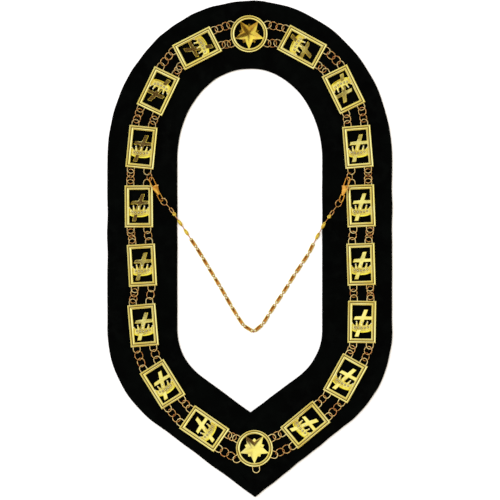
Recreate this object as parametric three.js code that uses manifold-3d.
// A chain of office lying flat: a black velvet collar with a pointed front, a closed row of
// sixteen pierced gold panels and two star medallions linked over it by jump rings, and a thin
// safety chain hooked across the neck opening. Millimetres, +X to the right, +Y towards the
// nape, +Z up, the underside of the velvet at z = 0.
import * as THREE from 'three';
import { mergeVertices } from 'three/addons/utils/BufferGeometryUtils.js';
import Module from 'manifold-3d';

const wasm = await Module();
wasm.setup();

// ---- driving dimensions ------------------------------------------------------------------

// The collar's two outlines share one form: half an ellipse round the nape, straight sides, a
// rounded corner on each side and two straight edges that meet at the point of the front.
const nape_centre_y = 96.5;
const outlines = {
  outer: { half_width: 152.5, rise: 169.5, corner_y: -148.5, corner_radius: 125, tip: [5.6, -266] },
  inner: { half_width: 77.5, rise: 96.9, corner_y: -117.2, corner_radius: 62, tip: [0.8, -174.7] },
};
const nape_steps = 22;
const corner_steps = 5;

// Across the band from its outer edge to its inner edge: inset from the named edge, and height.
const velvet_section = [
  { edge: 'outer', inset: 1.4, z: 0 },
  { edge: 'outer', inset: 0, z: 1.5 },
  { edge: 'outer', inset: 1.9, z: 3.0 },
  { edge: 'outer', inset: 6, z: 2.2 },
  { edge: 'inner', inset: 6, z: 2.2 },
  { edge: 'inner', inset: 1.9, z: 3.0 },
  { edge: 'inner', inset: 0, z: 1.5 },
  { edge: 'inner', inset: 1.4, z: 0 },
];

// The plates rest on the pile, so they stand a little above the solid cloth.
const plate_z = 2.8;
const panel = { width: 30.5, length: 45.5 };
const medallion = { radius: 19.9, rim_width: 4.5 };
const eye = { radius: 3.7, wire: 0.5, leg: 2.4, z: 2.1, spread: 8.9 };
// How deep the eyes' legs run into a panel's straight edge and a medallion's round one.
const eye_root = { panel: 0.45, medallion: 1.2 };
const jewel_eye_azimuth = -85;

// Moulded border of a panel and of a medallion: inset from the outer edge, and height.
const moulding = [
  { inset: 0, z: 0 },
  { inset: 0.3, z: 2.7 },
  { inset: 2.4, z: 1.8 },
  { inset: 4.4, z: 2.7 },
  { inset: 5.2, z: 0 },
];

// Places of the panels, from the nape down each side: centre, turn from +Y (anticlockwise),
// and whether the emblem faces the nape.
const panel_rows = {
  left: [
    { x: -56.2, y: 214.8, turn: -62.9, faces_nape: true },
    { x: -97.8, y: 169.0, turn: -25.6, faces_nape: true },
    { x: -115.7, y: 109.0, turn: -5.8 },
    { x: -118.5, y: 45.7, turn: 0.4 },
    { x: -115.2, y: -17.2, turn: 3.1 },
    { x: -114.0, y: -81.4, turn: 4.9 },
    { x: -93.1, y: -144.3, turn: 32.0 },
    { x: -48.6, y: -191.9, turn: 55.5 },
  ],
  right: [
    { x: 55.9, y: 216.1, turn: 61.4, faces_nape: true },
    { x: 100.3, y: 170.9, turn: 26.1, faces_nape: true },
    { x: 115.6, y: 109.4, turn: 4.7 },
    { x: 118.8, y: 46.3, turn: 2.3 },
    { x: 119.0, y: -16.2, turn: 1.8 },
    { x: 119.9, y: -77.8, turn: -0.9 },
    { x: 102.2, y: -138.0, turn: -28.9 },
    { x: 59.5, y: -187.8, turn: -50.5 },
  ],
};
// The medallions, with the directions (degrees from +X) in which their eyes point.
const medallions = {
  nape: { x: -0.7, y: 230.3, left: { outer: 154, inner: 209 }, right: { outer: 26, inner: -28 } },
  breast: { x: 5.0, y: -213.1, left: { outer: 211, inner: 151 }, right: { outer: -18, inner: 31 } },
};

// Jump rings: how wide they are between wire centres follows the distance that they bridge.
const ring_wire = 0.47;
const ring_roll = 30;
const ring_radii = {
  inner: [{ up_to: 13.2, radius: 4.4 }, { up_to: Infinity, radius: 4.7 }],
  outer: [{ up_to: 11.9, radius: 4.0 }, { up_to: 20.2, radius: 4.4 }, { up_to: Infinity, radius: 4.7 }],
};
// Of two rings in a gap, the first one's centre is this far past the eye's, and further the
// wider the gap is.
const first_ring = { least: 2.9, gap: 12.1, share: 0.42 };
// The ring that each clasp hooks is pulled towards it and stands up more.
const hooked_gap = 3;
const hooked_rings = {
  left: { radius: 4.4, roll: 52, lift: 1.45, shift: 2.4 },
  right: { radius: 4.4, roll: 46, lift: 1.1, shift: 2.05 },
};

const colours = {
  velvet: 0x0a0b0b,
  plate: 0xd9c64a,
  ring: 0xc98f5c,
  chain: 0xc79a36,
};

// ---- solids ------------------------------------------------------------------------------

function toSolid(geometry, matrix) {
  const bare = geometry.clone();
  bare.deleteAttribute('normal');
  bare.deleteAttribute('uv');
  if (matrix) bare.applyMatrix4(matrix);
  const merged = mergeVertices(bare, 1e-5);
  const vertProperties = new Float32Array(merged.attributes.position.array);
  const triVerts = new Uint32Array(merged.index.array);
  return new wasm.Manifold(new wasm.Mesh({ numProp: 3, vertProperties, triVerts }));
}

function toGeometry(solid) {
  const mesh = solid.getMesh();
  const geometry = new THREE.BufferGeometry();
  geometry.setAttribute('position', new THREE.BufferAttribute(mesh.vertProperties, 3));
  geometry.setIndex(new THREE.BufferAttribute(mesh.triVerts, 1));
  return geometry;
}

function fuse(pieces) {
  const solids = pieces.map(({ geometry, matrix }) => toSolid(geometry, matrix));
  return toGeometry(solids.reduce((whole, next) => whole.add(next)));
}

// Sections with the same number of points, joined in order: round into a closed ring, or with
// both ends capped.
function loft(sections, closed) {
  const count = sections[0].length;
  const position = sections.flat().flatMap((p) => [p.x, p.y, p.z]);
  const index = [];
  const last = sections.length - 1;
  for (let i = 0; i < (closed ? sections.length : last); i++) {
    const here = i * count;
    const next = ((i + 1) % sections.length) * count;
    for (let k = 0; k < count; k++) {
      const l = (k + 1) % count;
      index.push(here + k, next + k, next + l, here + k, next + l, here + l);
    }
  }
  for (let k = 2; !closed && k < count; k++) {
    index.push(0, k - 1, k, last * count, last * count + k, last * count + k - 1);
  }
  const geometry = new THREE.BufferGeometry();
  geometry.setAttribute('position', new THREE.Float32BufferAttribute(position, 3));
  geometry.setIndex(index);
  return geometry;
}

function extruded(points, from, to) {
  const shape = new THREE.Shape(points.map(([x, y]) => new THREE.Vector2(x, y)));
  const geometry = new THREE.ExtrudeGeometry(shape, { depth: to - from, bevelEnabled: false });
  return geometry.translate(0, 0, from);
}

// A wire with three sides through points that lie level, mitred at each bend.
function bentWire(points, radius) {
  const sections = points.map((point, i) => {
    const before = points[Math.max(i - 1, 0)];
    const after = points[Math.min(i + 1, points.length - 1)];
    const to = after.clone().sub(point).normalize();
    const from = point.clone().sub(before).normalize();
    const along = to.clone().add(from).normalize();
    const mitre = Math.max(along.dot(to), along.dot(from));
    return [30, 150, 270].map((degrees) => {
      const angle = THREE.MathUtils.degToRad(degrees);
      const across = (radius * Math.cos(angle)) / mitre;
      const height = radius * Math.sin(angle);
      return point.clone().add(new THREE.Vector3(along.y * across, -along.x * across, height));
    });
  });
  return loft(sections, false);
}

function placed(x, y, z, azimuth = 0) {
  return new THREE.Matrix4().makeRotationZ(azimuth).setPosition(x, y, z);
}

// ---- velvet ------------------------------------------------------------------------------

// Points of one outline, anticlockwise: from the right foot of the nape's curve over to the
// left, down the left side to the tip and up the right side. Both outlines have as many.
function outlinePoints({ half_width, rise, corner_y, corner_radius, tip }) {
  const points = [];
  for (let i = 0; i <= nape_steps; i++) {
    const angle = (Math.PI * i) / nape_steps;
    points.push(new THREE.Vector2(half_width * Math.cos(angle), nape_centre_y + rise * Math.sin(angle)));
  }
  const tip_point = new THREE.Vector2(...tip);
  const right = cornerPoints(half_width, corner_y, corner_radius, tip_point, 1);
  const left = cornerPoints(half_width, corner_y, corner_radius, tip_point, -1);
  return [...points, ...left, tip_point, ...right.reverse()];
}

// The rounded corner between a straight side and the slope to the tip.
function cornerPoints(half_width, corner_y, radius, tip, side) {
  const corner = new THREE.Vector2(side * half_width, corner_y);
  const slope = tip.clone().sub(corner).normalize();
  const bend = Math.acos(-slope.y);
  const centre = new THREE.Vector2(side * (half_width - radius), corner_y + radius * Math.tan(bend / 2));
  const points = [];
  for (let i = 0; i <= corner_steps; i++) {
    const angle = (-bend * i) / corner_steps;
    const offset = new THREE.Vector2(side * Math.cos(angle), Math.sin(angle)).multiplyScalar(radius);
    points.push(offset.add(centre));
  }
  return points;
}

// The outline moved along its mitred normals, to the left of its direction.
function moved(points, distance) {
  return points.map((point, i) => {
    const before = points[(i + points.length - 1) % points.length];
    const after = points[(i + 1) % points.length];
    const a = point.clone().sub(before).normalize();
    const b = after.clone().sub(point).normalize();
    const normal = new THREE.Vector2(-a.y - b.y, a.x + b.x).normalize();
    const mitre = distance / (-normal.x * a.y + normal.y * a.x);
    return point.clone().addScaledVector(normal, mitre);
  });
}

function velvetBacking() {
  const edges = { outer: outlinePoints(outlines.outer), inner: outlinePoints(outlines.inner) };
  // The outlines run anticlockwise, so the band lies to the left of the outer one.
  const lines = velvet_section.map(({ edge, inset, z }) =>
    moved(edges[edge], edge === 'outer' ? inset : -inset).map((p) => new THREE.Vector3(p.x, p.y, z)));
  const sections = lines[0].map((_, i) => lines.map((line) => line[i]));
  return loft(sections, true);
}

// ---- plates ------------------------------------------------------------------------------

// A wire eye whose legs stand out along +Y from an edge at y = 0; its bow's centre is at y = leg.
function eyeGeometry(root) {
  const { radius, leg, z } = eye;
  const half = [[radius, -root], [radius, leg + 0.35 * radius], [0.45 * radius, leg + radius]];
  const outline = [...half, ...half.map(([x, y]) => [-x, y]).reverse()];
  return bentWire(outline.map(([x, y]) => new THREE.Vector3(x, y, z)), eye.wire);
}

function panelFrame() {
  const corners = [[1, 1], [-1, 1], [-1, -1], [1, -1]];
  const sections = corners.map(([sx, sy]) => moulding.map(({ inset, z }) => new THREE.Vector3(
    sx * (panel.width / 2 - inset), sy * (panel.length / 2 - inset), z)));
  return loft(sections, true);
}

// The emblem, in the panel's own millimetres with its head up: a cross that leans through a
// coronet. Outlines have the columns x, y.
const cross = {
  top: [4.3, 13.3],
  foot: [-5.4, -15.8],
  width: 4.4,
  bar_y: 4.1,
  bar_depth: 3.7,
  bar_left: -8.1,
  z: [0.3, 1.6],
};
const crown = {
  points: [[-10.4, -1.6], [-5.7, 0.4], [0.1, -0.3], [6.0, 0.3], [10.4, -1.6]],
  valleys: [[-7.9, -3.2], [-3.0, -3.0], [3.0, -3.0], [8.0, -3.2]],
  base: [[8.0, -9.7], [0, -11.2], [-8.0, -9.7]],
  rim_depth: 1.9,
  z: [0.3, 2.1],
  rim_z: 2.6,
};

function crossOutline() {
  const [[top_x, top_y], [foot_x, foot_y]] = [cross.top, cross.foot];
  const lean = (top_x - foot_x) / (top_y - foot_y);
  const edge = (y, side) => [foot_x + lean * (y - foot_y) + (side * cross.width) / 2, y];
  const [bar_low, bar_high] = [-1, 1].map((side) => cross.bar_y + (side * cross.bar_depth) / 2);
  const bar_right = panel.width / 2 - 4.4;
  const skew = (lean * cross.bar_depth) / 2;
  return [
    edge(foot_y, -1), edge(foot_y, 1), edge(bar_low, 1), [bar_right, bar_low],
    [bar_right, bar_high], edge(bar_high, 1), edge(top_y, 1), edge(top_y, -1),
    edge(bar_high, -1), [cross.bar_left + skew, bar_high],
    [cross.bar_left - skew, bar_low], edge(bar_low, -1),
  ];
}

function emblemPieces() {
  const side = panel.width / 2 - 4.6;
  const zigzag = crown.points.flatMap((point, i) => (i ? [crown.valleys[i - 1], point] : [point]));
  const outline = [...crown.base, [-side, -3.8], ...zigzag, [side, -3.8]].reverse();
  const rim_top = crown.base.map(([x, y]) => [x * 1.04, y + crown.rim_depth]).reverse();
  return [
    extruded(crossOutline(), ...cross.z),
    extruded(outline, ...crown.z),
    extruded([...crown.base, ...rim_top].reverse(), crown.z[1] - 0.4, crown.rim_z),
  ];
}

function panelGeometry() {
  const eyes = [[1, 1], [-1, 1], [1, -1], [-1, -1]].map(([side, end]) => ({
    geometry: eyeGeometry(eye_root.panel),
    matrix: placed(side * eye.spread, (end * panel.length) / 2, 0, end > 0 ? 0 : Math.PI),
  }));
  const plain = [panelFrame(), ...emblemPieces()].map((geometry) => ({ geometry }));
  return fuse([...plain, ...eyes]);
}

// The star: five long points that end in the rim and five short ones between them.
const star = { long: 16.3, short: 12.4, valley: 9.7, valley_turn: 16.5, z: [0.4, 1.2], apex: 3.2, tip: 1.9 };

function starGeometry() {
  const polar = (radius, degrees, z) => {
    const angle = THREE.MathUtils.degToRad(degrees);
    return new THREE.Vector3(radius * Math.cos(angle), radius * Math.sin(angle), z);
  };
  const outline = [];
  for (let k = 0; k < 5; k++) {
    const short_at = 90 + 72 * k;
    outline.push({ radius: star.short, at: short_at, z: star.z[1] });
    outline.push({ radius: star.valley, at: short_at + star.valley_turn, z: star.z[1] });
    outline.push({ radius: star.long, at: short_at + 36, z: star.tip });
    outline.push({ radius: star.valley, at: short_at + 72 - star.valley_turn, z: star.z[1] });
  }
  const count = outline.length;
  const points = [
    ...outline.map(({ radius, at, z }) => polar(radius, at, z)),
    ...outline.map(({ radius, at }) => polar(radius, at, star.z[0])),
    new THREE.Vector3(0, 0, star.apex),
    new THREE.Vector3(0, 0, star.z[0]),
  ];
  const index = [];
  for (let k = 0; k < count; k++) {
    const next = (k + 1) % count;
    index.push(k, next, 2 * count);
    index.push(k, count + k, count + next, k, count + next, next);
    index.push(count + next, count + k, 2 * count + 1);
  }
  const geometry = new THREE.BufferGeometry();
  geometry.setAttribute('position', new THREE.Float32BufferAttribute(points.flatMap((p) => [p.x, p.y, p.z]), 3));
  geometry.setIndex(index);
  return geometry;
}

function medallionGeometry(eye_azimuths) {
  const share = medallion.rim_width / moulding.at(-1).inset;
  const steps = 16;
  const sections = Array.from({ length: steps }, (_, i) => {
    const angle = (i / steps) * 2 * Math.PI;
    return moulding.map(({ inset, z }) => {
      const radius = medallion.radius - inset * share;
      return new THREE.Vector3(radius * Math.cos(angle), radius * Math.sin(angle), z);
    });
  });
  const eyes = eye_azimuths.map((degrees) => {
    const angle = THREE.MathUtils.degToRad(degrees);
    const [x, y] = [medallion.radius * Math.cos(angle), medallion.radius * Math.sin(angle)];
    return { geometry: eyeGeometry(eye_root.medallion), matrix: placed(x, y, 0, angle - Math.PI / 2) };
  });
  return fuse([{ geometry: loft(sections, true) }, { geometry: starGeometry() }, ...eyes]);
}

// ---- the links ---------------------------------------------------------------------------

// Where the arc of a plate's eye has its centre. A panel's eyes lie up or down the row from it,
// on its outer or inner side; a medallion's are stated by their directions.
function panelEye({ x, y, turn }, side, along, across) {
  const outward = side === 'left' ? -1 : 1;
  const local = new THREE.Vector2(outward * across * eye.spread, along * (panel.length / 2 + eye.leg));
  return local.rotateAround(new THREE.Vector2(), THREE.MathUtils.degToRad(turn)).add(new THREE.Vector2(x, y));
}

function medallionEye({ x, y }, azimuth) {
  const angle = THREE.MathUtils.degToRad(azimuth);
  const reach = medallion.radius + eye.leg;
  return new THREE.Vector2(x + reach * Math.cos(angle), y + reach * Math.sin(angle));
}

// The nine gaps down one side, each with the eye centres above and below it in both rows.
function gaps(side) {
  const panels = panel_rows[side];
  const rows = { outer: 1, inner: -1 };
  return Array.from({ length: panels.length + 1 }, (_, i) => {
    const ends = {};
    for (const [row, across] of Object.entries(rows)) {
      const above = i === 0
        ? medallionEye(medallions.nape, medallions.nape[side][row])
        : panelEye(panels[i - 1], side, -1, across);
      const below = i === panels.length
        ? medallionEye(medallions.breast, medallions.breast[side][row])
        : panelEye(panels[i], side, 1, across);
      ends[row] = [above, below];
    }
    return ends;
  });
}

function ringRadius(row, distance) {
  return ring_radii[row].find(({ up_to }) => distance <= up_to).radius;
}

// Its corners lie beside the X axis, where the eyes' wires cross it.
function ringGeometry(radius) {
  return new THREE.TorusGeometry(radius, ring_wire, 3, 8).rotateZ(Math.PI / 8);
}

// Two rings side by side along X, joined where they cross.
function ringPairGeometry(radius, apart) {
  return fuse([-1, 1].map((side) => ({
    geometry: ringGeometry(radius),
    matrix: placed((side * apart) / 2, 0, 0),
  })));
}

// A lobster clasp seen from above, its hook's top at the origin and its tail towards -Y: a claw
// and a tail loop, both open, and a thicker body between them.
const clasp = {
  outline: [
    [0, 0], [2.2, -0.8], [3.1, -3.0], [3.2, -10.6], [3.9, -12.6], [3.5, -16.5], [2.4, -21.2],
    [2.7, -24], [2.7, -27], [1.4, -29.2], [-1.4, -29.2], [-2.7, -27], [-2.7, -24],
    [-2.3, -21.2], [-3.1, -16.5], [-3.3, -12.6], [-3.1, -10.6], [-3.1, -3.0], [-2.2, -0.8],
  ],
  claw_hole: [[0, -1.5], [-1.6, -3.0], [-1.7, -10.6], [0, -11.6], [1.7, -10.6], [1.6, -3.0]],
  tail_hole: [[0, -22.9], [-1.4, -24.2], [-1.4, -26.6], [0, -27.9], [1.4, -26.6], [1.4, -24.2]],
  body: [[3.4, -12.6], [3.0, -16.5], [2.0, -21.4], [-1.9, -21.4], [-2.6, -16.5], [-2.8, -12.6]],
  half_depth: 0.7,
  body_top: 1.9,
};

function claspGeometry() {
  const toVectors = (points) => points.map(([x, y]) => new THREE.Vector2(x, y));
  const shape = new THREE.Shape(toVectors(clasp.outline));
  shape.holes = [clasp.claw_hole, clasp.tail_hole].map((hole) => new THREE.Path(toVectors(hole)));
  const plate = new THREE.ExtrudeGeometry(shape, { depth: 2 * clasp.half_depth, bevelEnabled: false })
    .translate(0, 0, -clasp.half_depth);
  return fuse([{ geometry: plate }, { geometry: extruded(clasp.body, 0, clasp.body_top) }]);
}

// How each clasp lies: the top of its hook, the way that it points (degrees from -Y), how far
// its tail drops, and its roll.
const clasp_places = {
  left: { x: -106.4, y: 76.9, z: 8.8, turn: 26.4, drop: 7.4, roll: 18 },
  right: { x: 105.7, y: 77.2, z: 7.85, turn: -18.2, drop: 5.75, roll: -22 },
};

// The safety chain's two arms: the ring on the clasp's tail, and the route of the links from it
// over the velvet's edge and along the floor to the bottom of the V.
const chain_arms = {
  left: {
    ring: { x: -91.9, y: 50.8, z: 5.35, azimuth: -47, roll: 39.7 },
    route: [
      [-89.4, 48.2, 5.3], [-84.3, 42.8, 4.8], [-79.8, 35.8, 4.7], [-75.6, 29.6, 3.7],
      [-71.0, 22.8, 1.9], [-66.3, 15.6, 1.1], [-55.4, -0.9, 0.95], [-42.5, -22.3, 0.95],
      [-29.7, -43.7, 0.95], [-17.4, -65.1, 0.95], [-8.0, -79.8, 0.95], [-2.0, -86.6, 0.95],
      [3.4, -88.1, 0.95],
    ],
  },
  right: {
    ring: { x: 95.0, y: 49.1, z: 5.3, azimuth: -120, roll: -39 },
    route: [
      [92.9, 46.1, 5.3], [86.4, 36.6, 4.8], [81.4, 29.9, 4.7], [77.2, 23.9, 4.1],
      [74.0, 16.6, 2.1], [69.4, 8.2, 1.1], [61.8, -6.8, 0.95], [51.1, -22.3, 0.95],
      [37.7, -43.7, 0.95], [23.3, -65.1, 0.95], [14.6, -79.4, 0.95], [9.6, -86.6, 0.95],
      [4.6, -88.1, 0.95],
    ],
  },
};
const chain_ring_radius = 4.0;
// Short plain links beside the ring, then alike scroll links to the end.
const lead_links = [
  { pitch: 6.2, width: 2.3 },
  { pitch: 5.2, width: 4.1 },
  { pitch: 5.0, width: 4.4 },
  { pitch: 4.2, width: 2.2 },
];
const scroll_link = { pitch: 12.5, width: 3.7 };
const link = { depth: 1.6, neck: 1.5, shoulder: 0.3 };

// The links of one arm as one bar, wide in each link and narrow where two meet.
function chainBar(route) {
  const curve = new THREE.CatmullRomCurve3(route.map((p) => new THREE.Vector3(...p)), false, 'centripetal');
  const total = curve.getLength();
  const lead = lead_links.reduce((sum, { pitch }) => sum + pitch, 0);
  const count = Math.round((total - lead) / scroll_link.pitch);
  const pitch = (total - lead) / count;
  const scrolls = Array.from({ length: count }, () => ({ pitch, width: scroll_link.width }));
  const stations = [{ at: 0, width: link.neck }];
  let start = 0;
  for (const { pitch: length, width } of [...lead_links, ...scrolls]) {
    stations.push({ at: start + length * link.shoulder, width });
    stations.push({ at: start + length * (1 - link.shoulder), width });
    stations.push({ at: start + length, width: link.neck });
    start += length;
  }
  const sections = stations.map(({ at, width }) => {
    const share = Math.min(at / total, 1);
    const centre = curve.getPointAt(share);
    const along = curve.getTangentAt(share);
    const side = new THREE.Vector3(-along.y, along.x, 0).normalize().multiplyScalar(width / 2);
    const up = new THREE.Vector3(0, 0, link.depth / 2);
    return [[1, -1], [-1, -1], [-1, 1], [1, 1]].map(([s, u]) =>
      centre.clone().addScaledVector(side, s).addScaledVector(up, u));
  });
  return loft(sections, false);
}

function chainArmGeometry({ ring, route }) {
  const turn = new THREE.Euler(
    THREE.MathUtils.degToRad(ring.roll), 0, THREE.MathUtils.degToRad(ring.azimuth), 'ZYX');
  const matrix = new THREE.Matrix4().makeRotationFromEuler(turn).setPosition(ring.x, ring.y, ring.z);
  return fuse([{ geometry: ringGeometry(chain_ring_radius), matrix }, { geometry: chainBar(route) }]);
}

// ---- the object --------------------------------------------------------------------------

const materials = {
  velvet: new THREE.MeshStandardMaterial({ color: colours.velvet, roughness: 0.95, metalness: 0 }),
  plate: new THREE.MeshStandardMaterial({ color: colours.plate, roughness: 0.25, metalness: 1 }),
  ring: new THREE.MeshStandardMaterial({ color: colours.ring, roughness: 0.3, metalness: 1 }),
  chain: new THREE.MeshStandardMaterial({ color: colours.chain, roughness: 0.3, metalness: 1 }),
};

function mesh(name, geometry, material, { x = 0, y = 0, z = 0, azimuth = 0, pitch = 0, roll = 0 } = {}) {
  const piece = new THREE.Mesh(geometry, materials[material]);
  piece.name = name;
  piece.position.set(x, y, z);
  const angles = [roll, pitch, azimuth].map(THREE.MathUtils.degToRad);
  piece.rotation.set(...angles, 'ZYX');
  return piece;
}

function panels(side) {
  const geometry = panelGeometry();
  return panel_rows[side].map(({ x, y, turn, faces_nape }, i) =>
    mesh(`panel_${side}_${i + 1}`, geometry, 'plate', { x, y, z: plate_z, azimuth: turn + (faces_nape ? 180 : 0) }));
}

function medallionMeshes() {
  return Object.entries(medallions).map(([name, { x, y, left, right }]) => {
    const azimuths = [...Object.values(left), ...Object.values(right)];
    if (name === 'breast') azimuths.push(jewel_eye_azimuth);
    return mesh(`medallion_${name}`, medallionGeometry(azimuths), 'plate', { x, y, z: plate_z });
  });
}

function rings(side) {
  const level = plate_z + eye.z;
  return gaps(side).flatMap(({ outer, inner }, i) => {
    const inner_up = side === 'left' ? 1 : -1;
    const roll = (i % 2 ? 1 : -1) * inner_up * ring_roll;
    const facing = ([above, below]) => THREE.MathUtils.radToDeg(Math.atan2(below.y - above.y, below.x - above.x));
    const across = ([above, below]) => above.distanceTo(below);
    const middle = ([above, below]) => above.clone().add(below).divideScalar(2);

    const wide = across(outer);
    const wide_radius = ringRadius('outer', wide);
    const past_eye = first_ring.least + Math.max(0, wide - first_ring.gap) * first_ring.share
      + Math.min(0, wide - first_ring.gap) / 3;
    const pair = mesh(`rings_outer_${side}_${i + 1}`, ringPairGeometry(wide_radius, wide - 2 * past_eye), 'ring',
      { ...middle(outer), z: level, azimuth: facing(outer), roll });

    const free_ring = { radius: ringRadius('inner', across(inner)), roll: inner_up * roll, lift: 0, shift: 0 };
    const ring = i === hooked_gap ? hooked_rings[side] : free_ring;
    const centre = middle(inner);
    const single = mesh(`ring_inner_${side}_${i + 1}`, ringGeometry(ring.radius), 'ring', {
      x: centre.x + inner_up * ring.shift,
      y: centre.y,
      z: level + ring.lift,
      azimuth: facing(inner),
      roll: inner_up * ring.roll,
    });
    return [single, pair];
  });
}

function clasps() {
  const geometry = claspGeometry();
  return Object.entries(clasp_places).map(([side, { x, y, z, turn, drop, roll }]) => {
    const piece = mesh(`clasp_${side}`, geometry, 'ring', { x, y, z });
    // Roll about the clasp's own length (Y), then drop the tail, then turn.
    const angles = [drop, roll, turn].map(THREE.MathUtils.degToRad);
    piece.rotation.set(...angles, 'ZXY');
    return piece;
  });
}

const chain_of_office = new THREE.Group();
chain_of_office.add(mesh('velvet_backing', velvetBacking(), 'velvet'));
chain_of_office.add(...medallionMeshes());
for (const side of ['left', 'right']) {
  chain_of_office.add(...panels(side), ...rings(side));
  chain_of_office.add(mesh(`v_chain_${side}`, chainArmGeometry(chain_arms[side]), 'chain'));
}
chain_of_office.add(...clasps());

export default chain_of_office;
